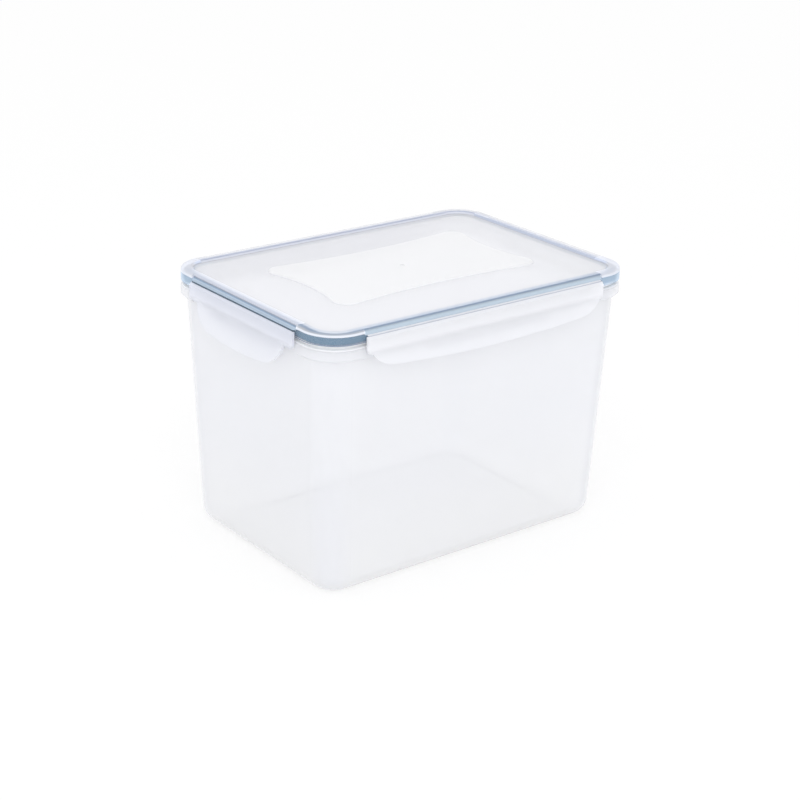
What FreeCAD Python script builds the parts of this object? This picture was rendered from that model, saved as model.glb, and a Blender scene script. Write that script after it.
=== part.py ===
import FreeCAD, Part
import math
import os
import re
import Sketcher

# Clip-lock food canister: a drafted tub, a lid with a seal in its channel,
# and four locking flaps that hang from the lid on thin hinge webs.
# X is the long side, Y the short side, Z is up and zero is the foot of the tub.
# "Inset" is a distance inward from the outer face of the lid.

# Driving dimensions in millimetres
SIZES = {
    # Lid
    "lid_length": 240.0,
    "lid_width": 170.0,
    "lid_corner": 22.0,
    "lid_top": 171.6,
    "rim_round": 1.8,
    "panel_inset": 8.0,
    "panel_corner": 14.0,
    "panel_drop": 1.4,
    "panel_slope": 45.0,
    "panel_thickness": 1.6,
    "skirt_foot": 163.7,
    "skirt_thickness": 1.4,
    "channel_inset": 7.2,
    "channel_roof": 169.4,
    "channel_chamfer": 0.6,
    "plug_inset": 8.8,
    "plug_foot": 161.4,
    "plateau_length": 164.0,
    "plateau_width": 90.0,
    "plateau_end_bow": 108.0,
    "plateau_side_bow": 484.0,
    "plateau_height": 1.1,
    "plateau_round": 9.0,
    "plateau_edge": 0.9,
    "plateau_wall": 1.5,
    "gate_mark": 3.2,
    "gate_depth": 0.5,
    "long_ledge_inset": 1.8,
    "long_ledge_high": 170.3,
    "short_ledge_inset": 1.5,
    "short_ledge_high": 169.8,
    "ledge_low": 168.3,
    # Seal
    "seal_gap": 0.1,
    "seal_sole": 166.6,
    "seal_outer_foot": 164.3,
    "seal_outer_inset": 2.95,
    "seal_inner_foot": 165.2,
    "seal_inner_inset": 5.6,
    # Tub
    "base_inset": 10.0,
    "base_corner": 17.1,
    "base_round": 10.0,
    "base_height": 12.0,
    "base_flare": 0.494,
    "base_draft": 2.357,
    "rim_inset": 3.15,
    "rim_top": 166.4,
    "rim_edge": 0.5,
    "rim_slope": 40.0,
    "wall": 1.8,
    "floor_thickness": 3.0,
    "floor_round": 8.4,
    "foot_length": 186.0,
    "foot_width": 116.0,
    "foot_corner": 10.0,
    "foot_depth": 1.5,
    # Collar of the tub
    "collar_top": 161.2,
    "collar_bend": 155.2,
    "collar_foot": 153.8,
    "collar_proud": 0.2,
    "collar_foot_inset": 1.0,
    "collar_round": 2.0,
    "groove_roof": 159.2,
    "groove_outer": 2.4,
    "groove_inner": 3.6,
    "catch_inset": 1.0,
    "catch_foot": 153.4,
    # Locking flaps
    "long_flap": 183.0,
    "short_flap": 111.0,
    "flap_gap": 0.6,
    "flap_top": 167.2,
    "flap_top_inner": 0.5,
    "flap_top_outer": 1.15,
    "flap_shoulder": 165.6,
    "flap_shoulder_out": 2.3,
    "long_crease": 159.5,
    "short_crease": 157.5,
    "flap_crease_out": 2.4,
    "flap_thickness": 1.65,
    "flap_flare": 0.18,
    "crease_round": 9.0,
    "flap_end_foot": 156.8,
    "flap_corner": 2.0,
    "tab_corner": 20.0,
    "long_tab": 177.0,
    "long_tab_foot": 145.2,
    "long_tab_bow": 900.0,
    "short_tab": 93.0,
    "short_tab_foot": 140.2,
    "short_tab_bow": 260.0,
    "hook_top": 153.0,
    "hook_nose": 0.8,
    "hook_heel": 149.8,
    "hook_reach": 0.7,
    "hook_overlap": 0.7,
    "long_hook": 94.0,
    "short_hook": 72.0,
    # Hinge webs
    "web_inner": 0.55,
    "web_outer": 1.05,
    "web_end_gap": 1.0,
}

doc = FreeCAD.newDocument("canister")
sheet = doc.addObject("Spreadsheet::Sheet", "sizes")
for row, (name, size) in enumerate(SIZES.items(), start=1):
    sheet.set(f"A{row}", str(size))
    sheet.setAlias(f"A{row}", name)
doc.recompute()


def bound(expression):
    """Point each dimension name of an expression at its cell."""
    return re.sub(r"[a-z_]+", lambda word: "sizes." + word.group(0), expression)


def value(expression):
    """The present number of an expression, in millimetres."""
    return float(sheet.evalExpression(bound(expression)))


def drive(feature, prop, expression):
    feature.setExpression(prop, bound(expression))


def new_sketch(body, name, plane, height=None):
    """A sketch on one of the body's own origin planes, or at a height above it."""
    sketch = body.newObject("Sketcher::SketchObject", name)
    origin = [item for item in body.Origin.OriginFeatures if item.Role == plane]
    sketch.AttachmentSupport = [(origin[0], "")]
    sketch.MapMode = "FlatFace"
    if height:
        drive(sketch, "AttachmentOffset.Base.z", height)
    return sketch


def constrain(sketch, kind, *targets, size=None):
    """Add a constraint, and drive it from the sheet when it has a size."""
    if size is None:
        sketch.addConstraint(Sketcher.Constraint(kind, *targets))
        return
    index = sketch.addConstraint(Sketcher.Constraint(kind, *targets, value(size)))
    drive(sketch, f"Constraints[{index}]", size)


def pin_point(sketch, item, end, across, up):
    """Hold one end of a sketch item at a driven position."""
    constrain(sketch, "DistanceX", -1, 1, item, end, size=across)
    constrain(sketch, "DistanceY", -1, 1, item, end, size=up)


def add_rounded_rectangle(sketch, length, width, corner):
    """A rounded rectangle centred on the sketch's origin."""
    radius = value(corner)
    half_x = value(length) / 2
    half_y = value(width) / 2
    flat_x = half_x - radius
    flat_y = half_y - radius
    sides = [
        ((-flat_x, -half_y), (flat_x, -half_y)),
        ((half_x, -flat_y), (half_x, flat_y)),
        ((flat_x, half_y), (-flat_x, half_y)),
        ((-half_x, flat_y), (-half_x, -flat_y)),
    ]
    centres = [(flat_x, -flat_y), (flat_x, flat_y), (-flat_x, flat_y), (-flat_x, -flat_y)]
    lines = []
    arcs = []
    for turn, (start, end) in enumerate(sides):
        segment = Part.LineSegment(FreeCAD.Vector(*start, 0), FreeCAD.Vector(*end, 0))
        lines.append(sketch.addGeometry(segment))
        circle = Part.Circle(FreeCAD.Vector(*centres[turn], 0), FreeCAD.Vector(0, 0, 1), radius)
        first = (turn - 1) * math.pi / 2
        arcs.append(sketch.addGeometry(Part.ArcOfCircle(circle, first, first + math.pi / 2)))
    for turn in range(4):
        constrain(sketch, "Tangent", lines[turn], 2, arcs[turn], 1)
        constrain(sketch, "Tangent", arcs[turn], 2, lines[(turn + 1) % 4], 1)
    for turn in range(1, 4):
        constrain(sketch, "Equal", arcs[0], arcs[turn])
    bottom, right, top, left = lines
    constrain(sketch, "Symmetric", bottom, 1, bottom, 2, -2)
    constrain(sketch, "Symmetric", right, 1, right, 2, -1)
    constrain(sketch, "Horizontal", top)
    constrain(sketch, "Vertical", left)
    constrain(sketch, "DistanceX", left, 1, right, 1, size=length)
    constrain(sketch, "DistanceY", bottom, 1, top, 1, size=width)
    constrain(sketch, "Radius", arcs[0], size=corner)


def add_inset(sketch, inset):
    """The outline of the lid, moved inward."""
    length = f"lid_length - 2 * ({inset})"
    width = f"lid_width - 2 * ({inset})"
    add_rounded_rectangle(sketch, length, width, f"lid_corner - ({inset})")


def add_wall_outline(sketch, inset, corner):
    """The lid's outline moved inward, with a corner radius of its own."""
    add_rounded_rectangle(sketch, f"lid_length - 2 * ({inset})", f"lid_width - 2 * ({inset})", corner)


def add_outline(sketch, points):
    """A closed outline of straight lines with every corner driven."""
    corners = [FreeCAD.Vector(value(across), value(up), 0) for across, up in points]
    count = len(corners)
    lines = []
    for index, corner in enumerate(corners):
        lines.append(sketch.addGeometry(Part.LineSegment(corner, corners[(index + 1) % count])))
    for index, (across, up) in enumerate(points):
        constrain(sketch, "Coincident", lines[index - 1], 2, lines[index], 1)
        pin_point(sketch, lines[index], 1, across, up)


def add_pincushion(sketch, margin):
    """The plateau's outline: four corners joined by arcs that bow inward."""
    half_x = value(f"plateau_length / 2 - {margin}")
    half_y = value(f"plateau_width / 2 - {margin}")
    corners = [(1, 1), (-1, 1), (-1, -1), (1, -1)]
    bows = ["plateau_side_bow", "plateau_end_bow"]
    arcs = []
    for turn, (side_x, side_y) in enumerate(corners):
        bow = value(bows[turn % 2])
        next_x, next_y = corners[(turn + 1) % 4]
        middle_x = (side_x + next_x) / 2
        middle_y = (side_y + next_y) / 2
        half_chord = half_y if middle_x else half_x
        rise = math.sqrt(bow ** 2 - half_chord ** 2)
        centre = FreeCAD.Vector(middle_x * (half_x + rise), middle_y * (half_y + rise), 0)
        circle = Part.Circle(centre, FreeCAD.Vector(0, 0, 1), bow)
        ends = [(next_x * half_x, next_y * half_y), (side_x * half_x, side_y * half_y)]
        angles = [math.atan2(y - centre.y, x - centre.x) for x, y in ends]
        arcs.append(sketch.addGeometry(Part.ArcOfCircle(circle, *angles)))
    for turn, (side_x, side_y) in enumerate(corners):
        constrain(sketch, "Coincident", arcs[turn - 1], 1, arcs[turn], 2)
        across = f"{side_x} * (plateau_length / 2 - {margin})"
        up = f"{side_y} * (plateau_width / 2 - {margin})"
        pin_point(sketch, arcs[turn], 2, across, up)
        constrain(sketch, "Radius", arcs[turn], size=bows[turn % 2])


def extrude(body, name, sketch, length, kind="Pad", symmetric=False, reverse=False, draft=None):
    """Pad or pocket a sketch by a driven length."""
    feature = body.newObject("PartDesign::" + kind, name)
    feature.Profile = sketch
    feature.Type = "Length"
    drive(feature, "Length", length)
    feature.SideType = "Symmetric" if symmetric else "One side"
    feature.Reversed = reverse
    if draft:
        drive(feature, "TaperAngle", draft)
    doc.recompute()
    return feature


def loft(body, name, low, high, kind="AdditiveLoft"):
    feature = body.newObject("PartDesign::" + kind, name)
    feature.Profile = low
    feature.Sections = [high]
    feature.Ruled = True
    doc.recompute()
    return feature


def mirror(body, name, original, plane):
    """Repeat a feature on the opposite side of the body."""
    feature = body.newObject("PartDesign::Mirrored", name)
    origin = [item for item in body.Origin.OriginFeatures if item.Role == plane]
    feature.Originals = [original]
    feature.MirrorPlane = (origin[0], [""])
    body.Tip = feature
    doc.recompute()
    return feature


def edges_where(feature, wanted):
    return [f"Edge{index}" for index, edge in enumerate(feature.Shape.Edges, start=1) if wanted(edge)]


def edges_at(feature, height, inset=None):
    """Level edges at a height, and on one inset outline of the lid when it is given."""
    level = value(height)

    def wanted(edge):
        box = edge.BoundBox
        if abs(box.ZMin - level) > 1e-4 or abs(box.ZMax - level) > 1e-4:
            return False
        if inset is None:
            return True
        return abs(depth_inside_lid(edge) - value(inset)) < 0.02

    return edges_where(feature, wanted)


def depth_inside_lid(edge):
    """How far the middle of an edge lies inside the lid's outline."""
    middle = edge.valueAt((edge.FirstParameter + edge.LastParameter) / 2)
    corner = value("lid_corner")
    over_x = abs(middle.x) - (value("lid_length") / 2 - corner)
    over_y = abs(middle.y) - (value("lid_width") / 2 - corner)
    if over_x > 0 and over_y > 0:
        return corner - math.hypot(over_x, over_y)
    return corner - max(over_x, over_y)


def round_edges(body, name, base, edges, radius):
    feature = body.newObject("PartDesign::Fillet", name)
    feature.Base = (base, edges)
    drive(feature, "Radius", radius)
    doc.recompute()
    return feature


def bevel_edges(body, name, base, edges, size):
    feature = body.newObject("PartDesign::Chamfer", name)
    feature.Base = (base, edges)
    drive(feature, "Size", size)
    doc.recompute()
    return feature


def new_body(label):
    body = doc.addObject("PartDesign::Body", label)
    body.Label = label
    return body


def ring(body, name, height, outer, inner):
    """A sketch of a band between two insets of the lid's outline."""
    sketch = new_sketch(body, name, "XY_Plane", height)
    add_inset(sketch, outer)
    add_inset(sketch, inner)
    return sketch


def side_cut(body, name, sketch, length, plane):
    """Cut a section along one side of the body and along the side opposite."""
    cut = extrude(body, name, sketch, length, kind="Pocket", symmetric=True)
    return mirror(body, name + "_opposite", cut, plane)


# The two pairs of sides: section plane, mirror plane, lid size and flap length
SIDES = {
    "long": ("YZ_Plane", "XZ_Plane", "lid_width / 2", "long_flap"),
    "short": ("XZ_Plane", "YZ_Plane", "lid_length / 2", "short_flap"),
}


def make_tub():
    tub = new_body("tub")

    # Drafted outer form: a rounded foot below, corners that open less than the draft above
    base = new_sketch(tub, "base_outline", "XY_Plane")
    add_wall_outline(base, "base_inset", "base_corner")
    extrude(tub, "foot", base, "base_height", draft="base_draft")
    low = new_sketch(tub, "wall_outline", "XY_Plane", "base_height")
    add_wall_outline(low, "base_inset - base_flare", "base_corner + base_flare")
    rim = new_sketch(tub, "rim_outline", "XY_Plane", "rim_top - rim_edge")
    add_inset(rim, "rim_inset")
    loft(tub, "walls", low, rim)
    edge = new_sketch(tub, "edge_outline", "XY_Plane", "rim_top - rim_edge")
    add_inset(edge, "rim_inset")
    extrude(tub, "edge", edge, "rim_edge", draft="-rim_slope")

    # Collar under the lid, a little proud of the lid's skirt: a bevel below, a large round above
    collar_foot = new_sketch(tub, "collar_foot_outline", "XY_Plane", "collar_foot")
    add_inset(collar_foot, "collar_foot_inset")
    collar_bend = new_sketch(tub, "collar_bend_outline", "XY_Plane", "collar_bend")
    add_inset(collar_bend, "-collar_proud")
    loft(tub, "collar_taper", collar_foot, collar_bend)
    collar_band = new_sketch(tub, "collar_band_outline", "XY_Plane", "collar_bend")
    add_inset(collar_band, "-collar_proud")
    band = extrude(tub, "collar_band", collar_band, "collar_top - collar_bend")
    top_edges = edges_at(band, "collar_top", "-collar_proud")
    round_edges(tub, "collar_round", band, top_edges, "collar_round")

    # Behind each flap the collar steps back and ends in a square catch edge
    for side, (section_plane, mirror_plane, half, flap) in SIDES.items():
        step = new_sketch(tub, side + "_step_section", section_plane)
        inner = f"{half} - catch_inset"
        add_outline(step, [
            (inner, "catch_foot - 5"),
            (f"{half} + 5", "catch_foot - 5"),
            (f"{half} + 5", "collar_top + 1"),
            (inner, "collar_top + 1"),
        ])
        side_cut(tub, side + "_step", step, f"{flap} + 2 * flap_gap", mirror_plane)
        catch = new_sketch(tub, side + "_catch_section", section_plane)
        back = f"{half} - groove_inner - 0.4"
        add_outline(catch, [
            (inner, "catch_foot"),
            (inner, "collar_top - collar_round"),
            (back, "collar_top - collar_round"),
            (back, "catch_foot"),
        ])
        bar = extrude(tub, side + "_catch", catch, f"{flap} + 2 * flap_gap", symmetric=True)
        mirror(tub, side + "_catch_opposite", bar, mirror_plane)

    # The collar is hollow from below
    groove = ring(tub, "groove_outline", "collar_foot - 6", "groove_outer", "groove_inner")
    extrude(tub, "groove", groove, "groove_roof - collar_foot + 6", kind="Pocket", reverse=True)

    # Food space
    mouth_low = new_sketch(tub, "space_outline", "XY_Plane", "base_height")
    inner_inset = "base_inset - base_flare + wall"
    inner_corner = "base_corner + base_flare - wall"
    add_wall_outline(mouth_low, inner_inset, inner_corner)
    mouth = new_sketch(tub, "mouth_outline", "XY_Plane", "rim_top - rim_edge")
    add_inset(mouth, "rim_inset + wall")
    loft(tub, "food_space", mouth_low, mouth, kind="SubtractiveLoft")
    lip = new_sketch(tub, "lip_outline", "XY_Plane", "rim_top - rim_edge")
    add_inset(lip, "rim_inset + wall")
    extrude(tub, "lip", lip, "rim_edge", kind="Pocket", reverse=True, draft="rim_slope")
    well_outline = new_sketch(tub, "well_outline", "XY_Plane", "base_height")
    add_wall_outline(well_outline, inner_inset, inner_corner)
    depth = "base_height - floor_thickness"
    space = extrude(tub, "well", well_outline, depth, kind="Pocket", draft="-base_draft")
    well = round_edges(tub, "floor_round", space, edges_at(space, "floor_thickness"), "floor_round")
    foot_edges = edges_where(well, lambda edge: edge.BoundBox.ZMax < 1e-4)
    round_edges(tub, "foot_round", well, foot_edges, "base_round")

    # Foot ring that seats on the panel of a lid below
    foot = new_sketch(tub, "foot_outline", "XY_Plane")
    add_rounded_rectangle(foot, "foot_length", "foot_width", "foot_corner")
    extrude(tub, "foot_recess", foot, "foot_depth", kind="Pocket", reverse=True)
    return tub


def make_lid():
    lid = new_body("lid")

    # Outer form with the rounded rim
    outline = new_sketch(lid, "lid_outline", "XY_Plane", "skirt_foot")
    add_rounded_rectangle(outline, "lid_length", "lid_width", "lid_corner")
    form = extrude(lid, "form", outline, "lid_top - skirt_foot")
    round_edges(lid, "rim_round", form, edges_at(form, "lid_top"), "rim_round")

    # Locating wall that reaches into the mouth of the tub
    plug = ring(lid, "plug_outline", "plug_foot", "channel_inset", "plug_inset")
    extrude(lid, "plug", plug, "skirt_foot - plug_foot")

    # Hollow under the panel and the channel for the seal
    hollow = new_sketch(lid, "hollow_outline", "XY_Plane", "skirt_foot")
    add_inset(hollow, "plug_inset")
    hollow_height = "lid_top - panel_drop - panel_thickness - skirt_foot"
    extrude(lid, "hollow", hollow, hollow_height, kind="Pocket", reverse=True)
    channel = ring(lid, "channel_outline", "skirt_foot", "skirt_thickness", "channel_inset")
    cut = extrude(lid, "channel", channel, "channel_roof - skirt_foot", kind="Pocket", reverse=True)
    roof_edges = edges_at(cut, "channel_roof", "skirt_thickness")
    bevel_edges(lid, "channel_bevel", cut, roof_edges, "channel_chamfer")

    # Sunk panel with the raised plateau
    panel = new_sketch(lid, "panel_outline", "XY_Plane", "lid_top - panel_drop")
    add_wall_outline(panel, "panel_inset", "panel_corner")
    extrude(lid, "panel", panel, "panel_drop + 1", kind="Pocket", reverse=True, draft="panel_slope")
    plateau = new_sketch(lid, "plateau_outline", "XY_Plane", "lid_top - panel_drop")
    add_pincushion(plateau, "0")
    raised = extrude(lid, "plateau", plateau, "plateau_height")
    top = value("lid_top - panel_drop + plateau_height")
    upright = edges_where(raised, lambda edge: is_plateau_corner(edge, top))
    rounded = round_edges(lid, "plateau_round", raised, upright, "plateau_round")
    crown = edges_where(rounded, lambda edge: is_plateau_crown(edge, top))
    bevel_edges(lid, "plateau_edge", rounded, crown, "plateau_edge")
    under = new_sketch(lid, "plateau_hollow_outline", "XY_Plane", "lid_top - panel_drop - panel_thickness")
    add_pincushion(under, "plateau_wall")
    extrude(lid, "plateau_hollow", under, "plateau_height", kind="Pocket", reverse=True)
    gate = new_sketch(lid, "gate_outline", "XY_Plane", "lid_top - panel_drop + plateau_height")
    circle = Part.Circle(FreeCAD.Vector(0, 0, 0), FreeCAD.Vector(0, 0, 1), value("gate_mark / 2"))
    gate.addGeometry(circle)
    constrain(gate, "Coincident", 0, 3, -1, 1)
    constrain(gate, "Radius", 0, size="gate_mark / 2")
    extrude(lid, "gate", gate, "gate_depth", kind="Pocket")

    # Along each flap the rim slopes down to the hinge
    for side, (section_plane, mirror_plane, half, flap) in SIDES.items():
        slope = new_sketch(lid, side + "_ledge_section", section_plane)
        add_outline(slope, [
            (f"{half} - {side}_ledge_inset", "lid_top + 1"),
            (f"{half} - {side}_ledge_inset", f"{side}_ledge_high"),
            (half, "ledge_low"),
            (f"{half} + 1", "ledge_low"),
            (f"{half} + 1", "lid_top + 1"),
        ])
        side_cut(lid, side + "_ledge", slope, f"{flap} + 2 * flap_gap", mirror_plane)
    return lid


def is_plateau_corner(edge, top):
    """Upright edges at the four corners of the plateau."""
    box = edge.BoundBox
    inside = abs(box.XMax) < value("plateau_length / 2 + 1")
    return inside and abs(box.ZMax - top) < 1e-4 and box.ZLength > value("plateau_height") - 1e-3


def is_plateau_crown(edge, top):
    """Level edges round the top of the plateau."""
    box = edge.BoundBox
    half = value("plateau_width / 2 + 1")
    inside = max(abs(box.YMin), abs(box.YMax)) < half
    return inside and abs(box.ZMin - top) < 1e-4 and max(abs(box.XMin), abs(box.XMax)) < half * 2


def make_seal():
    """A hanging ring with a long outer leg and a short inner leg over the rim of the tub."""
    seal = new_body("seal")
    outer = "skirt_thickness + seal_gap"
    inner = "channel_inset - seal_gap"
    web = ring(seal, "web_outline", "seal_sole", outer, inner)
    extrude(seal, "web", web, "channel_roof - seal_sole")
    long_leg = ring(seal, "outer_leg_outline", "seal_outer_foot", outer, "seal_outer_inset")
    extrude(seal, "outer_leg", long_leg, "seal_sole - seal_outer_foot")
    short_leg = ring(seal, "inner_leg_outline", "seal_inner_foot", "seal_inner_inset", inner)
    legs = extrude(seal, "inner_leg", short_leg, "seal_sole - seal_inner_foot")
    bevel_edges(seal, "bevel", legs, edges_at(legs, "channel_roof", outer), "channel_chamfer")
    return seal


# Quarter turns that bring a flap's outward direction from +Y to its own side
FLAPS = {
    "back": (0, "long", "y", "lid_width / 2"),
    "left": (90, "short", "x", "-lid_length / 2"),
    "front": (180, "long", "y", "-lid_width / 2"),
    "right": (270, "short", "x", "lid_length / 2"),
}


def stand_at_side(body, side):
    """Turn a piece to its side of the lid and set it on the lid's outer face."""
    angle, _, axis, offset = FLAPS[side]
    body.Placement = FreeCAD.Placement(FreeCAD.Vector(), FreeCAD.Rotation(FreeCAD.Vector(0, 0, 1), angle))
    drive(body, "Placement.Base." + axis, offset)


def add_tab_surround(sketch, size):
    """What is cut away round a finger tab: a shallow bow below, a large round at each side."""
    bow = value(f"{size}_tab_bow")
    corner = value("tab_corner")
    foot = value("flap_end_foot")
    reach = value(f"{size}_tab / 2")
    bow_height = f"{size}_tab_foot + {size}_tab_bow"
    rise = value(bow_height) - foot
    span = math.hypot(reach, rise)
    along = ((bow - corner) ** 2 - corner ** 2 + span ** 2) / (2 * span)
    aside = math.sqrt((bow - corner) ** 2 - along ** 2)
    centre_x = (along * reach - aside * rise) / span
    centre_z = value(bow_height) - (along * rise + aside * reach) / span
    meet = math.atan2(centre_z - value(bow_height), centre_x)
    end = math.atan2(foot - centre_z, reach - centre_x)
    up = FreeCAD.Vector(0, 0, 1)
    left_circle = Part.Circle(FreeCAD.Vector(-centre_x, centre_z, 0), up, corner)
    bow_circle = Part.Circle(FreeCAD.Vector(0, value(bow_height), 0), up, bow)
    right_circle = Part.Circle(FreeCAD.Vector(centre_x, centre_z, 0), up, corner)
    left = sketch.addGeometry(Part.ArcOfCircle(left_circle, math.pi - end, math.pi - meet))
    bottom = sketch.addGeometry(Part.ArcOfCircle(bow_circle, math.pi - meet, 2 * math.pi + meet))
    right = sketch.addGeometry(Part.ArcOfCircle(right_circle, meet, end))
    beyond = f"{size}_flap / 2 + 1"
    low = f"{size}_tab_foot - 6"
    corners = [
        FreeCAD.Vector(reach, foot, 0),
        FreeCAD.Vector(value(beyond), foot, 0),
        FreeCAD.Vector(value(beyond), value(low), 0),
        FreeCAD.Vector(-value(beyond), value(low), 0),
        FreeCAD.Vector(-value(beyond), foot, 0),
        FreeCAD.Vector(-reach, foot, 0),
    ]
    lines = [sketch.addGeometry(Part.LineSegment(*corners[i:i + 2])) for i in range(5)]
    constrain(sketch, "Tangent", left, 2, bottom, 1)
    constrain(sketch, "Tangent", bottom, 2, right, 1)
    constrain(sketch, "PointOnObject", bottom, 3, -2)
    constrain(sketch, "DistanceY", -1, 1, bottom, 3, size=bow_height)
    constrain(sketch, "Radius", bottom, size=f"{size}_tab_bow")
    constrain(sketch, "Radius", right, size="tab_corner")
    constrain(sketch, "Equal", left, right)
    pin_point(sketch, right, 2, f"{size}_tab / 2", "flap_end_foot")
    constrain(sketch, "Symmetric", left, 1, right, 2, -2)
    constrain(sketch, "Coincident", right, 2, lines[0], 1)
    for first, second in zip(lines, lines[1:]):
        constrain(sketch, "Coincident", first, 2, second, 1)
    constrain(sketch, "Coincident", lines[4], 2, left, 1)
    constrain(sketch, "Horizontal", lines[0])
    constrain(sketch, "Vertical", lines[1])
    constrain(sketch, "Vertical", lines[3])
    constrain(sketch, "Horizontal", lines[4])
    constrain(sketch, "Symmetric", lines[2], 1, lines[2], 2, -2)
    pin_point(sketch, lines[2], 1, beyond, low)


def is_plate_corner(edge, size):
    """The edges through the plate at the lower corners of its straight ends."""
    box = edge.BoundBox
    at_end = abs(abs(box.Center.x) - value(f"{size}_flap / 2")) < 1e-4 and box.XLength < 1e-4
    return at_end and abs(box.Center.z - value("flap_end_foot")) < 1e-4 and box.ZLength < 1e-4


def make_flap(side):
    """A plate with a flared finger tab and a hook for the catch edge of the tub."""
    size = FLAPS[side][1]
    flap = new_body(side + "_flap")
    section = new_sketch(flap, "section", "YZ_Plane")
    below = f"{size}_tab_foot - 1"
    flare = f"({size}_crease - {size}_tab_foot + 1) * flap_flare"
    add_outline(section, [
        ("flap_top_inner", "flap_top"),
        ("flap_top_outer", "flap_top"),
        ("flap_shoulder_out", "flap_shoulder"),
        ("flap_crease_out", f"{size}_crease"),
        (f"flap_crease_out + {flare}", below),
        (f"flap_crease_out - flap_thickness + {flare}", below),
        ("flap_crease_out - flap_thickness", f"{size}_crease"),
    ])
    plate = extrude(flap, "plate", section, f"{size}_flap", symmetric=True)
    crease = value(f"{size}_crease")
    bends = edges_where(plate, lambda edge: abs(edge.BoundBox.Center.z - crease) < 1e-4)
    round_edges(flap, "crease_round", plate, bends, "crease_round")

    # Finger tab between the straight ends of the plate
    outline = new_sketch(flap, "tab_outline", "XZ_Plane")
    add_tab_surround(outline, size)
    tab = extrude(flap, "tab", outline, "40", kind="Pocket", symmetric=True)
    corners = edges_where(tab, lambda edge: is_plate_corner(edge, size))
    round_edges(flap, "plate_corners", tab, corners, "flap_corner")

    # Hook along the inside
    hook = new_sketch(flap, "hook_section", "YZ_Plane")
    inner = "flap_crease_out - flap_thickness + hook_overlap"
    add_outline(hook, [
        (f"{inner} + ({size}_crease - hook_top) * flap_flare", "hook_top"),
        ("-hook_reach", "hook_top"),
        ("-hook_reach", "hook_top - hook_nose"),
        (f"{inner} + ({size}_crease - hook_heel) * flap_flare", "hook_heel"),
    ])
    extrude(flap, "hook", hook, f"{size}_hook", symmetric=True)
    stand_at_side(flap, side)
    return flap


def make_web(side):
    """A thin strip, bent a quarter turn, that joins the top of a flap to the lid."""
    size = FLAPS[side][1]
    web = new_body(side + "_hinge_web")
    section = new_sketch(web, "section", "YZ_Plane")
    height = value("flap_top")
    centre = FreeCAD.Vector(0, height, 0)
    up = FreeCAD.Vector(0, 0, 1)
    arcs = []
    for edge in ("web_inner", "web_outer"):
        circle = Part.Circle(centre, up, value(edge))
        arcs.append(section.addGeometry(Part.ArcOfCircle(circle, 0, math.pi / 2)))
        constrain(section, "PointOnObject", arcs[-1], 3, -2)
        constrain(section, "DistanceY", -1, 1, arcs[-1], 3, size="flap_top")
        constrain(section, "Radius", arcs[-1], size=edge)
        constrain(section, "PointOnObject", arcs[-1], 2, -2)
        constrain(section, "DistanceY", -1, 1, arcs[-1], 1, size="flap_top")
    for end in (1, 2):
        points = [section.getPoint(arc, end) for arc in arcs]
        line = section.addGeometry(Part.LineSegment(*points))
        constrain(section, "Coincident", line, 1, arcs[0], end)
        constrain(section, "Coincident", line, 2, arcs[1], end)
    extrude(web, "strip", section, f"{size}_flap - 2 * web_end_gap", symmetric=True)
    stand_at_side(web, side)
    return web


pieces = [make_tub(), make_lid(), make_seal()]
for side in FLAPS:
    pieces.append(make_flap(side))
    pieces.append(make_web(side))
doc.recompute()

for item in doc.Objects:
    if "Invalid" in item.State or "Error" in item.State:
        raise RuntimeError(f"{item.Label}: {item.State}")
os.makedirs("parts", exist_ok=True)
for piece in pieces:
    shape = piece.Shape
    if shape.isNull() or not shape.isValid() or len(shape.Solids) != 1:
        raise RuntimeError(f"{piece.Label} isn't one valid solid")
    shape.exportStep(f"parts/{piece.Label}.step")
    box = shape.BoundBox
    print(piece.Label, round(shape.Volume / 1000, 2), "cm3", [round(size, 2) for size in (
        box.XMin, box.XMax, box.YMin, box.YMax, box.ZMin, box.ZMax)])
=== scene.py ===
import math

import bmesh
import bpy
from mathutils import Matrix, Vector


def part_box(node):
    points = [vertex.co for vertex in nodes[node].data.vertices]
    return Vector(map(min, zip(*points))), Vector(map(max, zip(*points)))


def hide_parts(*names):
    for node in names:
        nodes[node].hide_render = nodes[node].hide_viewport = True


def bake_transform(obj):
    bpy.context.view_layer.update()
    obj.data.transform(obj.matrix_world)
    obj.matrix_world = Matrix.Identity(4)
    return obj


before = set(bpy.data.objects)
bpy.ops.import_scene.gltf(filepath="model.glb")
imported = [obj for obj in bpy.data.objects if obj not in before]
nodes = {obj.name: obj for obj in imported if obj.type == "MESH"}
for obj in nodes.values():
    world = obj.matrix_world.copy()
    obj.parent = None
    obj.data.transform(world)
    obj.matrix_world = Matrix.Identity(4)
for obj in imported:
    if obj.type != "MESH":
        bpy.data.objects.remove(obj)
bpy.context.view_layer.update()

scene = bpy.context.scene
scene.view_settings.view_transform = "Standard"

# Heights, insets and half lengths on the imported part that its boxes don't give, in metres
LID_CORNER = 0.022
PANEL_INSET = 0.008
RISER_INSET = 0.0066
PLATEAU_INSET = 0.015
PLATEAU_FOOT = 0.1706
EDGE_TOP = 0.1706
SHORT_STEP = 0.1701
# Foot of the painted shade line on the short sides' ledge
SHORT_SHADE_LINE_FOOT = 0.1693
SKIRT_TOP = 0.1692
SEAL_FOOT = 0.1644
SKIRT_FOOT = 0.1639
LEDGE_FOOT = 0.1682
LONG_FLAP_HALF = 0.0921
SHORT_FLAP_HALF = 0.0561
FLAP_CREASE = 0.1585
FLAP_FOOT = 0.14
COLLAR_FLAT = 0.1607
COLLAR_FOOT = 0.1538
WEB_THICKNESS = 0.0005
WEB_TAIL = 0.0003

# The tub's walls: how fast they spread with height, where their corners start at the foot, and the
# distances past that start between which a corner's painted shade comes in
WALL_DRAFT = 0.041
WALL_CORNER = (0.0925, 0.0575)
CORNER_BEND = (-0.004, 0.01)
# Height up to which painted light brightens the walls towards the foot
LIT_FOOT = 0.09

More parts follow.
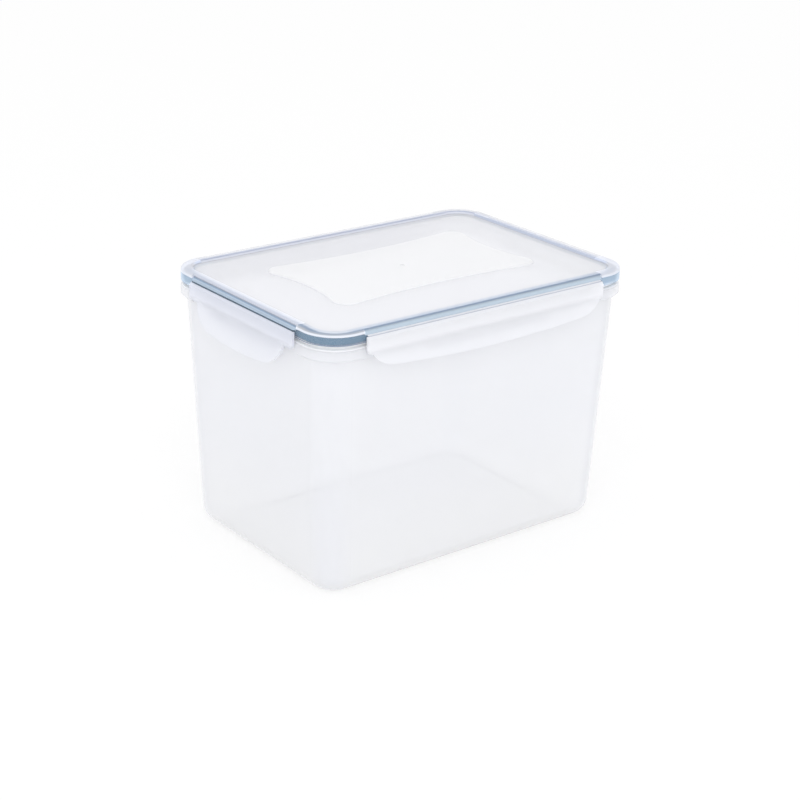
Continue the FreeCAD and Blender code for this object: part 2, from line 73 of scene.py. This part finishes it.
# Half the width over which a mask fades, in metres
FINE = 0.0001
CRISP = 0.0002
NARROW = 0.0003
MEDIUM = 0.0004
SOFT = 0.0005
BROAD = 0.002

# Where the seal shows through the rim, with painted reflection and shade: which way the photograph's
# far corner lies, how far the seal seems to move in that direction, and the insets between which its
# tint comes and goes
FAR_CORNER = (0.57, 0.73)
SEAL_PARALLAX = -0.003
SEAL_RISE = (0.0015, 0.004)
SEAL_FALL = (0.0045, 0.01)

# The lean of a side is -1 towards the photograph's near corner and 1 towards its far corner. These
# are the leans between which a look changes, or a lean with half the width of its change
NEAR_TO_FAR = (-0.3, 0.4)
NEAR_CORNER = (-0.92, -0.75)
SIDE_LEAN = (0.15, 0.55)
BACK_LEAN = (0.65, 0.03)
SHADED_RISER_LEAN = (0.3, 0.2)
FAR_PANEL_LEAN = (0.3, 0.25)

# What is left of the seal's tint at each of these places; the tint is partly painted reflection and
# shade
FAR_TINT = 0.75
RISER_TINT = 0.2
SIDE_TINT = 0.35
SIDE_TOP_TINT = 0.3
NEAR_CORNER_TINT = 0.7
# Painted shade: how much seal tint darkens the panel's crease
CREASE_SHADE = 0.4

# Painted shade lines and a painted highlight on the riser of the far rim, as insets, and the part of
# the panel that painted light brightens to the right
SHADE_LINE_INSET = (0.0058, 0.0072)
HIGHLIGHT_INSET = (0.0071, 0.0082)
CREASE_SHADE_END = 0.0088
BRIGHT_PANEL = (0.03, 0.12)

# Colours
MILK = ((0.945, 0.953, 0.991), (0.952, 0.959, 0.995))
# Painted shade greys the panel; painted light lifts it on the far sides and to the right
SHADED_PANEL_MILK = (0.905, 0.91, 0.945)
LIT_PANEL_MILK = (0.945, 0.95, 0.975)
# Painted shade: the collar's face, darkened against the key light
SHADED_COLLAR = (0.9, 0.91, 0.95)
# Painted light: the walls' colour at the foot, lifted against the floor's shade
FOOT_PAINTED_LIGHT = (0.978, 0.982, 0.999)
CORNER_MILK = (0.88, 0.9, 0.98)
# Painted shade: the walls' colour in the rounded corners
SHADED_CORNER_WALL = (0.93, 0.939, 0.98)
# Painted shade on the flaps' tabs
SHADED_TAB_MILK = (0.91, 0.921, 0.965)
# Painted light: the collar's top, whitened against the shade in the gap under the skirt
LIT_COLLAR_TOP = (0.97, 0.975, 0.99)
FROSTED = (0.925, 0.928, 0.942)
# Painted highlight on the corners' rim bead
BEAD_HIGHLIGHT = (0.88, 0.905, 0.98)
RIM_BLUE = (0.5, 0.61, 0.8)
# Painted shade on the far rim
FAR_RIM_SHADE = (0.66, 0.7, 0.88)
SHORT_RIM = (0.77, 0.82, 0.95)
# Painted highlight on the far riser
RISER_HIGHLIGHT = (0.86, 0.89, 0.99)
# Painted shade line on the far riser
RISER_SHADE_LINE = (0.45, 0.49, 0.63)
# Painted shade on the riser of the sides that lean away
SHADED_SIDE_RISER = (0.68, 0.74, 0.89)
LONG_LEDGE = (0.75, 0.87, 0.99)
SHORT_LEDGE = (0.7, 0.83, 0.98)
# Painted shade line on the short sides' ledge
SHORT_SHADE_LINE = (0.42, 0.54, 0.72)
# Painted shade, dark as the seal, on the skirt's foot below the seal
SKIRT_FOOT_SHADE = (0.1, 0.17, 0.28)
# Side corners' skirt: the seal's blue seen through it, with painted reflection
SIDE_CORNER_SEAL_SHEEN = (0.68, 0.83, 1.0)
# Short flaps: the seal's blue seen through, with painted shade
FLAP_SEAL_SHADE = (0.83, 0.855, 0.95)
# Painted shade lines where the hinge strips meet the flaps
LONG_GROOVE_SHADE = (0.62, 0.65, 0.75)
SHORT_GROOVE_SHADE = (0.1, 0.15, 0.21)
SILICONE_BLUE = ((0.055, 0.17, 0.29), (0.07, 0.19, 0.31))
FLAP_FOOT_SEAL_SHADE = 0.2

# How much of each surface is milky, seen square on. The rest lets light straight through
WALL_SHARE = 0.38
COLLAR_SHARE = 0.42
# The collar top's near-full milky share carries its painted light
COLLAR_TOP_SHARE = 0.95
SKIRT_SHARE = 0.07
# At the side corners the skirt is made milkier as painted reflection of grazing light
SHEEN_SHARE_END = 0.3
SHEEN_SHARE_MIDDLE = 0.65
PANEL_SHARE = 0.52
RIM_SHARE = 0.72
# The corners' bead is milkier under its painted highlight
EDGE_SHARE = 0.8
PLATEAU_SHARE = 0.65
BAND_SHARE = 0.65
TAB_SHARE = 0.38
WEB_SHARE = 0.6
WEB_SWING = 0.05

# How far up a hinge strip its painted shade line reaches
LONG_WEB_LEVEL = 0.5
SHORT_WEB_LEVEL = 0.8

# Gloss
PLASTIC_IOR = 1.49
SATIN = 0.15
SHEEN = 0.4
SHEEN_POWER = 5
TUB_ROUGH = 0.34
LID_ROUGH = 0.32
ROUGH_SWING = 0.03
SILICONE_ROUGH = (0.36, 0.5)

# The middle part of a noise texture's range
NOISE_RANGE = (0.2, 0.8)

# Each flap: the direction it faces, and the direction along its hinge
SIDES = {
    "front": (Vector((0, -1, 0)), Vector((1, 0, 0))),
    "back": (Vector((0, 1, 0)), Vector((-1, 0, 0))),
    "left": (Vector((-1, 0, 0)), Vector((0, -1, 0))),
    "right": (Vector((1, 0, 0)), Vector((0, 1, 0))),
}
SHORT_SIDES = ("left", "right")


class Field:
    """A number that varies over a surface, with arithmetic that adds Math nodes."""

    def __init__(self, tree, socket):
        self.tree = tree
        self.socket = socket

    def math(self, operation, *others):
        """One Math node with this field as its first input."""
        node = self.tree.nodes.new("ShaderNodeMath")
        node.operation = operation
        for index, item in enumerate((self, *others)):
            if isinstance(item, Field):
                self.tree.links.new(item.socket, node.inputs[index])
            else:
                node.inputs[index].default_value = item
        return Field(self.tree, node.outputs[0])

    def __add__(self, other):
        return self.math("ADD", other)

    def __sub__(self, other):
        return self.math("SUBTRACT", other)

    def __mul__(self, other):
        return self.math("MULTIPLY", other)

    def __abs__(self):
        return self.math("ABSOLUTE")

    def inverted(self):
        """One minus this field."""
        return (self * -1) + 1

    def either(self, other):
        """The larger of two fields."""
        return self.math("MAXIMUM", other)

    def above(self, level, soft):
        """A mask that rises smoothly from 0 to 1 across a level."""
        return self.ramp((level - soft, level + soft), 0, 1)

    def below(self, level, soft):
        """A mask that falls smoothly from 1 to 0 across a level."""
        return self.above(level, soft).inverted()

    def ramp(self, span, first, second):
        """Go smoothly from one number to another over a span of this field."""
        return self.spread(span, first, second, "SMOOTHSTEP")

    def spread(self, span, first, second, kind="LINEAR"):
        """Map a span of this field to another range."""
        node = self.tree.nodes.new("ShaderNodeMapRange")
        node.interpolation_type = kind
        self.tree.links.new(self.socket, node.inputs["Value"])
        node.inputs["From Min"].default_value = span[0]
        node.inputs["From Max"].default_value = span[1]
        node.inputs["To Min"].default_value = first
        node.inputs["To Max"].default_value = second
        return Field(self.tree, node.outputs["Result"])

    def mapped(self, first, second):
        """Map a mask's 0 and 1 to two other numbers."""
        return self.spread((0, 1), first, second)

    def tint(self, first, second):
        """Blend from one colour to another, either of them a colour or a socket."""
        node = self.tree.nodes.new("ShaderNodeMix")
        node.data_type = "RGBA"
        self.tree.links.new(self.socket, node.inputs["Factor"])
        for name, colour in (("A", first), ("B", second)):
            if isinstance(colour, tuple):
                node.inputs[name].default_value = (*colour, 1)
            else:
                self.tree.links.new(colour, node.inputs[name])
        return node.outputs["Result"]


def new_material(name):
    """A material with only an output and a Principled shader."""
    material = bpy.data.materials.new(name)
    material.use_nodes = True
    tree = material.node_tree
    tree.nodes.clear()
    output = tree.nodes.new("ShaderNodeOutputMaterial")
    shader = tree.nodes.new("ShaderNodeBsdfPrincipled")
    tree.links.new(shader.outputs["BSDF"], output.inputs["Surface"])
    return material, tree, shader


def noise(tree, scale, detail):
    """Noise in object space, scale in features per metre."""
    place = tree.nodes.new("ShaderNodeTexCoord")
    field = tree.nodes.new("ShaderNodeTexNoise")
    field.inputs["Scale"].default_value = scale
    field.inputs["Detail"].default_value = detail
    tree.links.new(place.outputs["Object"], field.inputs["Vector"])
    return Field(tree, field.outputs["Fac"])


def place_on_piece(tree):
    """The x, y and z of a surface point, in metres."""
    place = tree.nodes.new("ShaderNodeTexCoord")
    split = tree.nodes.new("ShaderNodeSeparateXYZ")
    tree.links.new(place.outputs["Object"], split.inputs[0])
    return [Field(tree, split.outputs[axis]) for axis in "XYZ"]


def bump(tree, shader, field, height, strength):
    """Raise a surface by a field."""
    bumps = tree.nodes.new("ShaderNodeBump")
    bumps.inputs["Distance"].default_value = height
    bumps.inputs["Strength"].default_value = strength
    tree.links.new(field.socket, bumps.inputs["Height"])
    tree.links.new(bumps.outputs["Normal"], shader.inputs["Normal"])


def milky_plastic(name, rough, paint_body):
    """Natural polypropylene: a milky body that lets part of the light straight through.

    paint_body takes the tree and the plain colour, and returns the piece's colour and the milky
    share of its surface seen square on.
    """
    material, tree, shader = new_material(name)
    plain = noise(tree, scale=9, detail=1).spread(NOISE_RANGE, 0, 1).tint(*MILK)
    colour, share = paint_body(tree, plain)
    tree.links.new(colour, shader.inputs["Base Color"])
    shader.inputs["IOR"].default_value = PLASTIC_IOR
    shader.inputs["Specular IOR Level"].default_value = SATIN
    cloud = noise(tree, scale=30, detail=2)
    haze = cloud.spread(NOISE_RANGE, rough - ROUGH_SWING, rough + ROUGH_SWING)
    tree.links.new(haze.socket, shader.inputs["Roughness"])
    bump(tree, shader, noise(tree, scale=20, detail=0), height=0.0001, strength=0.2)
    gloss = tree.nodes.new("ShaderNodeLayerWeight")
    gloss.inputs["Blend"].default_value = 0.5
    sheen = Field(tree, gloss.outputs["Facing"]).math("POWER", SHEEN_POWER)
    covered = sheen * share.inverted() * SHEEN + share
    clear = tree.nodes.new("ShaderNodeBsdfTransparent")
    both = tree.nodes.new("ShaderNodeMixShader")
    tree.links.new(covered.socket, both.inputs["Fac"])
    tree.links.new(clear.outputs[0], both.inputs[1])
    tree.links.new(shader.outputs[0], both.inputs[2])
    tree.links.new(both.outputs[0], tree.nodes["Material Output"].inputs["Surface"])
    return material


def tub_body(tree, plain):
    """Milky walls with painted shade in the corners and painted light at the foot, under a milkier
    collar with painted shade on its face and painted light on its top.
    """
    x, y, z = place_on_piece(tree)
    collar = z.above(COLLAR_FOOT, MEDIUM)
    # The collar's top, whitened with painted light
    lit_collar_top = z.above(COLLAR_FLAT, NARROW)
    share = collar * (COLLAR_SHARE - WALL_SHARE) + lit_collar_top * (COLLAR_TOP_SHARE - COLLAR_SHARE)
    past_x, past_y = (abs(along) - z * WALL_DRAFT - start
                      for along, start in zip((x, y), WALL_CORNER))
    # Painted shade: the walls' rounded corners are darkened
    corner = past_x.ramp(CORNER_BEND, 0, 1) * past_y.ramp(CORNER_BEND, 0, 1)
    # Painted light: the walls grow lighter towards the foot
    wall = z.ramp((0, LIT_FOOT), 1, 0).tint(plain, FOOT_PAINTED_LIGHT)
    wall = corner.tint(wall, SHADED_CORNER_WALL)
    # Collar with painted shade, its top with painted light
    return lit_collar_top.tint(collar.tint(wall, SHADED_COLLAR), LIT_COLLAR_TOP), share + WALL_SHARE


def lid_body(tree, plain):
    """A clear skirt, a rim that the seal tints from below, and a frosted plateau, all with painted
    light and shade.
    """
    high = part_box("lid")[1]
    x, y, z = place_on_piece(tree)

    # How far a point lies inside the lid's outline, and how far its side leans from the photograph
    over_x = (abs(x) - (high[0] - LID_CORNER)).either(0)
    over_y = (abs(y) - (high[1] - LID_CORNER)).either(0)
    reach = (over_x * over_x + over_y * over_y).math("SQRT")
    inset = reach * -1 + LID_CORNER
    lean = x.math("SIGN") * over_x * FAR_CORNER[0] + y.math("SIGN") * over_y * FAR_CORNER[1]
    lean = lean.math("DIVIDE", reach)

    # Parts of the lid
    beside_long = abs(x).math("LESS_THAN", LONG_FLAP_HALF)
    along_flap = beside_long.either(abs(y).math("LESS_THAN", SHORT_FLAP_HALF))
    ledge = along_flap * z.above(LEDGE_FOOT, FINE)
    panel = inset.above(PANEL_INSET, SOFT)
    upper = z.above(SKIRT_TOP, CRISP).either(ledge).either(panel)
    outer = inset.below(PANEL_INSET / 2, SOFT)
    # Painted highlight: the rim bead at the corners
    bead_highlight = z.below(EDGE_TOP, CRISP) * along_flap.inverted() * upper * outer
    low_ledge = z.below(EDGE_TOP, CRISP) * ledge * outer
    short_side = abs(x).above(high[0] - PANEL_INSET, SOFT)
    left_side = (x * -1).above(high[0] - PANEL_INSET, SOFT)
    left_top = left_side * along_flap * z.above(EDGE_TOP + FINE, FINE)
    side_corner = (x * y).math("LESS_THAN", 0) * along_flap.inverted()
    back_side = lean.above(*BACK_LEAN)
    side_top = side_corner * back_side.inverted()
    corner_top = side_top * z.above(EDGE_TOP, CRISP) * panel.inverted()
    # Painted shade on the skirt's foot below the seal, except at the side corners
    skirt_foot_shade = z.below(SEAL_FOOT, FINE) * z.above(SKIRT_FOOT, FINE) * outer * side_corner.inverted()
    plateau = inset.above(PLATEAU_INSET, BROAD) * z.above(PLATEAU_FOOT, NARROW)
    # Painted light on the panel towards the far sides
    lit_far_panel = lean.above(*FAR_PANEL_LEAN) * inset.spread((PANEL_INSET, LID_CORNER), 1, 0)

    # The riser between the rim and the panel, with painted shade lines and a painted highlight on
    # the far sides
    riser_shade_line = inset.above(SHADE_LINE_INSET[0], NARROW) * inset.below(SHADE_LINE_INSET[1], CRISP)
    riser_highlight = inset.above(HIGHLIGHT_INSET[0], CRISP) * inset.below(HIGHLIGHT_INSET[1], CRISP)
    riser = inset.above(RISER_INSET, CRISP)
    shaded_riser = lean.above(*SHADED_RISER_LEAN) * riser * inset.below(PANEL_INSET, CRISP)
    # Painted shade in the crease at the panel's edge, below the riser
    crease_shade = inset.above(PANEL_INSET, CRISP) * inset.below(CREASE_SHADE_END, MEDIUM)

    # The seal's tint on the rim, partly its blue seen through and partly painted reflection and
    # shade that change with the side's lean
    middle = abs(lean).spread(SIDE_LEAN, 1, 0)
    seen = inset + lean * SEAL_PARALLAX
    rim_seal_and_shade = seen.ramp(SEAL_RISE, 0, 1) * seen.ramp(SEAL_FALL, 1, 0)
    rim_seal_and_shade = rim_seal_and_shade * lean.spread(NEAR_TO_FAR, 1, FAR_TINT) * riser.mapped(1, RISER_TINT)
    rim_seal_and_shade = rim_seal_and_shade * upper * middle.mapped(1, SIDE_TINT)
    rim_seal_and_shade = rim_seal_and_shade * lean.spread(NEAR_CORNER, NEAR_CORNER_TINT, 1) * side_top.mapped(1, SIDE_TOP_TINT)
    # Painted shade in the panel's crease
    rim_seal_and_shade = rim_seal_and_shade.either(crease_shade * CREASE_SHADE)

    # Colour
    # Panel colour: painted shade, lifted by painted light on the far sides and to the right
    panel_shade_and_light = lit_far_panel.either(x.spread(BRIGHT_PANEL, 0, 1)).tint(SHADED_PANEL_MILK, LIT_PANEL_MILK)
    colour = panel.tint(corner_top.tint(plain, CORNER_MILK), panel_shade_and_light)
    colour = plateau.tint(colour, FROSTED)
    # Rim colour: the seal's blue on the near sides and the near short side's top, painted shade on
    # the far sides
    near_rim = left_top.tint(RIM_BLUE, SHORT_RIM)
    colour = rim_seal_and_shade.tint(colour, lean.spread(NEAR_TO_FAR, 0, 1).tint(near_rim, FAR_RIM_SHADE))
    # Short ledge: the seal's blue, then a painted shade line at its step, then the rim colour
    short_ledge = z.above(SHORT_SHADE_LINE_FOOT, FINE).tint(SHORT_LEDGE, SHORT_SHADE_LINE)
    short_ledge = z.above(SHORT_STEP, FINE).tint(short_ledge, SHORT_RIM)
    colour = low_ledge.tint(colour, short_side.tint(LONG_LEDGE, short_ledge))
    # Far riser: painted highlight and painted shade line; the other sides' riser: painted shade
    back_colour = riser_shade_line.tint(riser_highlight.tint(colour, RISER_HIGHLIGHT), RISER_SHADE_LINE)
    colour = back_side.tint(shaded_riser.tint(colour, SHADED_SIDE_RISER), back_colour)
    # Painted highlight on the corners' bead, painted shade on the skirt's foot
    colour = skirt_foot_shade.tint(bead_highlight.tint(colour, BEAD_HIGHLIGHT), SKIRT_FOOT_SHADE)
    # Side corners' skirt: the seal's blue and painted reflection
    colour = (side_corner * upper.inverted()).tint(colour, SIDE_CORNER_SEAL_SHEEN)

    # Milky share
    # The skirt is milkier at the side corners as painted reflection
    skirt = side_corner * middle.mapped(SHEEN_SHARE_END, SHEEN_SHARE_MIDDLE) + SKIRT_SHARE
    share = upper.inverted() * skirt + upper * PANEL_SHARE
    share = share + plateau * (PLATEAU_SHARE - PANEL_SHARE)
    # Milkier share under the bead's painted highlight and the skirt foot's painted shade
    share = share + bead_highlight * (EDGE_SHARE - PANEL_SHARE) + skirt_foot_shade * EDGE_SHARE
    # Milkier share under the riser's painted shade and highlight
    riser_shade_and_highlight = back_side * (riser_shade_line + riser_highlight) + back_side.inverted() * shaded_riser
    share = share + (left_top + corner_top + riser_shade_and_highlight) * (RIM_SHARE - PANEL_SHARE)
    return colour, share


def flap_body(tree, plain):
    """A milky band at the hinge, and a thinner and clearer finger tab darkened towards its foot with
    painted shade.
    """
    z = place_on_piece(tree)[2]
    # Painted shade: the tab darkens towards its foot
    colour = z.spread((FLAP_FOOT, FLAP_CREASE), 0, 1).tint(SHADED_TAB_MILK, plain)
    return colour, z.above(FLAP_CREASE, BROAD).mapped(TAB_SHARE, BAND_SHARE)


def short_flap_body(tree, plain):
    """A flap that shows more of the seal's blue towards its hinge, with painted shade."""
    colour, share = flap_body(tree, plain)
    height = nodes["left_flap"].dimensions.z
    z = place_on_piece(tree)[2]
    # The seal's blue and painted shade, strongest at the hinge
    seal_and_shade = z.spread((FLAP_FOOT, FLAP_FOOT + height), FLAP_FOOT_SEAL_SHADE, 1)
    return seal_and_shade.tint(colour, FLAP_SEAL_SHADE), share


def web_body(tree, ledge, groove_shade, level):
    """A strip from the lid's colour to a painted shade line at the flap, where the hinge groove is
    shaded, unevenly cloudy from bending.
    """
    low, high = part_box("front_hinge_web")
    height = low[2] + (high[2] - low[2]) * level
    turn = place_on_piece(tree)[2].below(height, WEB_THICKNESS / 2)
    cloud = noise(tree, scale=60, detail=1)
    share = cloud.spread(NOISE_RANGE, WEB_SHARE - WEB_SWING, WEB_SHARE + WEB_SWING)
    return turn.tint(ledge, groove_shade), share


def long_web_body(tree, plain):
    return web_body(tree, plain, LONG_GROOVE_SHADE, LONG_WEB_LEVEL)


def short_web_body(tree, plain):
    return web_body(tree, SHORT_LEDGE, SHORT_GROOVE_SHADE, SHORT_WEB_LEVEL)


def silicone(name):
    """Blue silicone with a satin skin."""
    material, tree, shader = new_material(name)
    cloud = noise(tree, scale=60, detail=2).spread(NOISE_RANGE, 0, 1)
    tree.links.new(cloud.tint(*SILICONE_BLUE), shader.inputs["Base Color"])
    satin = noise(tree, scale=200, detail=2).spread(NOISE_RANGE, *SILICONE_ROUGH)
    tree.links.new(satin.socket, shader.inputs["Roughness"])
    bump(tree, shader, noise(tree, scale=400, detail=1), height=0.00003, strength=0.3)
    return material


tub_plastic = milky_plastic("tub_plastic", TUB_ROUGH, tub_body)
lid_plastic = milky_plastic("lid_plastic", LID_ROUGH, lid_body)
long_flap_plastic = milky_plastic("long_flap_plastic", LID_ROUGH, flap_body)
short_flap_plastic = milky_plastic("short_flap_plastic", LID_ROUGH, short_flap_body)
long_web_plastic = milky_plastic("long_web_plastic", LID_ROUGH, long_web_body)
short_web_plastic = milky_plastic("short_web_plastic", LID_ROUGH, short_web_body)
seal_silicone = silicone("seal_silicone")


def paint(piece, material):
    """Give a piece one material."""
    piece.data.materials.clear()
    piece.data.materials.append(material)


BEND_STEPS = 12
SHARP_ANGLE = math.radians(40)


def hinge_strip(side):
    """The thin bent strip between the lid and a flap, a mesh that takes the place of the part's
    hinge web.
    """
    out, along = SIDES[side]
    low, high = (Vector(corner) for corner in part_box(side + "_hinge_web"))
    outer = high.z - low.z
    half = abs((high - low).dot(along)) / 2
    face = max(abs(low.dot(out)), abs(high.dot(out))) - outer
    turns = [math.pi / 2 * step / BEND_STEPS for step in range(BEND_STEPS + 1)]
    mesh = bmesh.new()
    rings = []
    for radius in (outer - WEB_THICKNESS, outer):
        section = [(radius, -WEB_TAIL)]
        section += [(radius * math.cos(turn), radius * math.sin(turn)) for turn in turns]
        section += [(-WEB_TAIL, radius)]
        for end in (-half, half):
            rings.append([
                mesh.verts.new(out * (face + u) + along * end + Vector((0, 0, low.z + rise)))
                for u, rise in section])
    inner_start, inner_end, outer_start, outer_end = rings
    loop = [inner_start, inner_end, outer_end, outer_start]
    for first, second in zip(loop, loop[1:] + loop[:1]):
        for index in range(len(first) - 1):
            mesh.faces.new((first[index], second[index], second[index + 1], first[index + 1]))
    for index in (0, -1):
        mesh.faces.new([ring[index] for ring in loop])
    bmesh.ops.recalc_face_normals(mesh, faces=mesh.faces)
    for polygon in mesh.faces:
        polygon.smooth = True
    data = bpy.data.meshes.new(side + "_hinge_strip")
    mesh.to_mesh(data)
    mesh.free()
    data.set_sharp_from_angle(angle=SHARP_ANGLE)
    strip = bpy.data.objects.new(side + "_hinge_strip", data)
    scene.collection.objects.link(strip)
    paint(strip, short_web_plastic if side in SHORT_SIDES else long_web_plastic)
    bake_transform(strip)
    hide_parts(side + "_hinge_web")


paint(nodes["tub"], tub_plastic)
paint(nodes["lid"], lid_plastic)
paint(nodes["seal"], seal_silicone)
for side in SIDES:
    flap_plastic = short_flap_plastic if side in SHORT_SIDES else long_flap_plastic
    paint(nodes[side + "_flap"], flap_plastic)
    hinge_strip(side)


def white_behind_object(tree, surface, output, seen):
    """Show reflections and see-through plastic a white studio, and the camera a share of it."""
    path = tree.nodes.new("ShaderNodeLightPath")
    glow = tree.nodes.new("ShaderNodeEmission")
    kinds = ("Is Glossy Ray", "Is Transmission Ray", "Is Camera Ray")
    glossy, through, camera_ray = (Field(tree, path.outputs[kind]) for kind in kinds)
    share = glossy.either(through).either(camera_ray * seen)
    both = tree.nodes.new("ShaderNodeMixShader")
    tree.links.new(share.socket, both.inputs[0])
    tree.links.new(surface, both.inputs[1])
    tree.links.new(glow.outputs[0], both.inputs[2])
    tree.links.new(both.outputs[0], output)


# Floor, just under the foot
FLOOR_WHITE = (0.95, 0.95, 0.95, 1)
FLOOR_ROUGH = 0.9
FLOOR_SEEN = 0.7
FLOOR_SIZE = 12
FLOOR_HEIGHT = -0.0003
floor_material, floor_tree, floor_shader = new_material("floor")
floor_shader.inputs["Base Color"].default_value = FLOOR_WHITE
floor_shader.inputs["Roughness"].default_value = FLOOR_ROUGH
floor_shader.inputs["Specular IOR Level"].default_value = 0
floor_output = floor_tree.nodes["Material Output"].inputs["Surface"]
white_behind_object(floor_tree, floor_shader.outputs[0], floor_output, FLOOR_SEEN)
bpy.ops.mesh.primitive_plane_add(size=FLOOR_SIZE, location=(0, 0, FLOOR_HEIGHT))
floor = bpy.context.object
floor.name = "floor"
floor.data.materials.append(floor_material)

# Light
WORLD_LIGHT = 1.0
world = bpy.data.worlds.new("studio")
scene.world = world
world.use_nodes = True
world_tree = world.node_tree
backdrop = world_tree.nodes["Background"]
backdrop.inputs["Color"].default_value = (1, 1, 1, 1)
backdrop.inputs["Strength"].default_value = WORLD_LIGHT
world_output = world_tree.nodes["World Output"].inputs["Surface"]
white_behind_object(world_tree, backdrop.outputs[0], world_output, 1)

KEY_PLACE = Vector((-0.75, -0.95, 1.3))
KEY_AIM = Vector((0, 0, 0.1))
KEY_SIZE = 0.9
KEY_POWER = 5.5
key_data = bpy.data.lights.new("key", "AREA")
key_data.shape = "RECTANGLE"
key_data.size = KEY_SIZE
key_data.size_y = KEY_SIZE
key_data.energy = KEY_POWER
key = bpy.data.objects.new("key", key_data)
scene.collection.objects.link(key)
key.location = KEY_PLACE
key.rotation_euler = (KEY_AIM - KEY_PLACE).to_track_quat("-Z", "Y").to_euler()

# Camera at the photograph's viewpoint, with angles in degrees and lengths in metres
AZIMUTH, ELEVATION, ROLL = (math.radians(angle) for angle in (-38.116, 21.747, 1.349))
CAMERA_AIM = Vector((0.000409, -0.000412, 0.080027))
CAMERA_DISTANCE = 1.20519
LENS = 83.84
SENSOR_WIDTH = 36
level = math.cos(ELEVATION)
back = Vector((math.sin(AZIMUTH) * level, -math.cos(AZIMUTH) * level, math.sin(ELEVATION)))
right = (-back).cross(Vector((0, 0, 1))).normalized()
up = right.cross(-back)
turned_right = right * math.cos(ROLL) + up * math.sin(ROLL)
turned_up = up * math.cos(ROLL) - right * math.sin(ROLL)
camera_data = bpy.data.cameras.new("camera")
camera_data.sensor_width = SENSOR_WIDTH
camera_data.lens = LENS
camera = bpy.data.objects.new("camera", camera_data)
scene.collection.objects.link(camera)
turn = Matrix((turned_right, turned_up, back)).transposed().to_4x4()
camera.matrix_world = Matrix.Translation(CAMERA_AIM + back * CAMERA_DISTANCE) @ turn
scene.camera = camera
